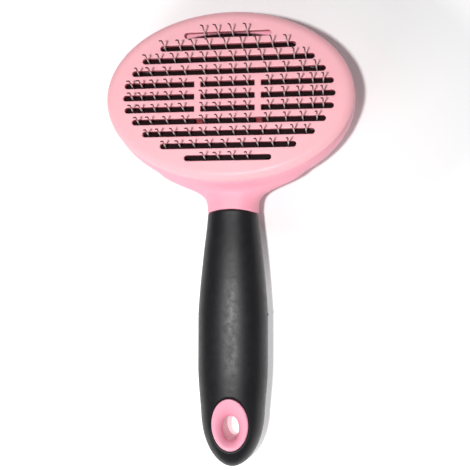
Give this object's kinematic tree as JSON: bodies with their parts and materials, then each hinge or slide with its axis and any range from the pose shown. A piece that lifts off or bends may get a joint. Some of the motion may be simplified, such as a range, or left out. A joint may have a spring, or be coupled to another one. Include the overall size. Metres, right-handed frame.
{
  "type": "slicker brush",
  "caption": "Oval self-cleaning pet slicker brush: bent wire pins stand through a slotted face plate that a sprung back button pushes out to strip hair; long soft grip with a hang hole.",
  "frame": {"origin": "Middle of the flat back of the push button, the face the brush rests on with its pins up; that face is in the plane z = 0.", "axes": "+Z along the pins, away from the table; +Y from the handle to the head, in line with the handle; +X across the oval head, so X, Y, Z are right-handed."},
  "size_m": [0.108, 0.1984, 0.0436],
  "materials": {
    "pink_body": "glossy moulded pink plastic, slightly deeper pink than the face",
    "pink_face": "glossy moulded light pink plastic",
    "black_grip": "matt black soft-touch grip",
    "black_plate": "satin black plastic",
    "grey_plate": "dark grey plastic, hidden",
    "pin_steel": "polished thin steel wire",
    "spring_steel": "bright spring wire",
    "screw_steel": "plated steel"
  },
  "bodies": {
    "housing": {"body_shell": "pink_body", "grip_sleeve": "black_grip", "hang_hole_insert": "pink_body", "pin_plate": "black_plate", "pin_backing_plate": "grey_plate", "pin_row_01": "pin_steel", "pin_row_02": "pin_steel", "pin_row_03": "pin_steel", "pin_row_04": "pin_steel", "pin_row_05_left": "pin_steel", "pin_row_05_centre": "pin_steel", "pin_row_05_right": "pin_steel", "pin_row_06_left": "pin_steel", "pin_row_06_centre": "pin_steel", "pin_row_06_right": "pin_steel", "pin_row_07_left": "pin_steel", "pin_row_07_centre": "pin_steel", "pin_row_07_right": "pin_steel", "pin_row_08_left": "pin_steel", "pin_row_08_centre": "pin_steel", "pin_row_08_right": "pin_steel", "pin_row_09": "pin_steel", "pin_row_10": "pin_steel", "pin_row_11": "pin_steel", "return_spring_left": "spring_steel", "return_spring_right": "spring_steel", "pin_plate_screw_1": "screw_steel", "pin_plate_screw_2": "screw_steel", "pin_plate_screw_3": "screw_steel", "pin_plate_screw_4": "screw_steel"},
    "stripper": {"face_plate": "pink_face", "push_button": "pink_face", "button_screw_left": "screw_steel", "button_screw_right": "screw_steel"}
  },
  "joints": [
    {"name": "stripper_slide", "type": "slide", "parent": "housing", "child": "stripper", "axis": [0, 0, 1], "range_m": [0, 0.0105], "stiffness_N_per_m": 500, "springref_m": -0.006, "deforming": ["return_spring_left", "return_spring_right"]}
  ]
}
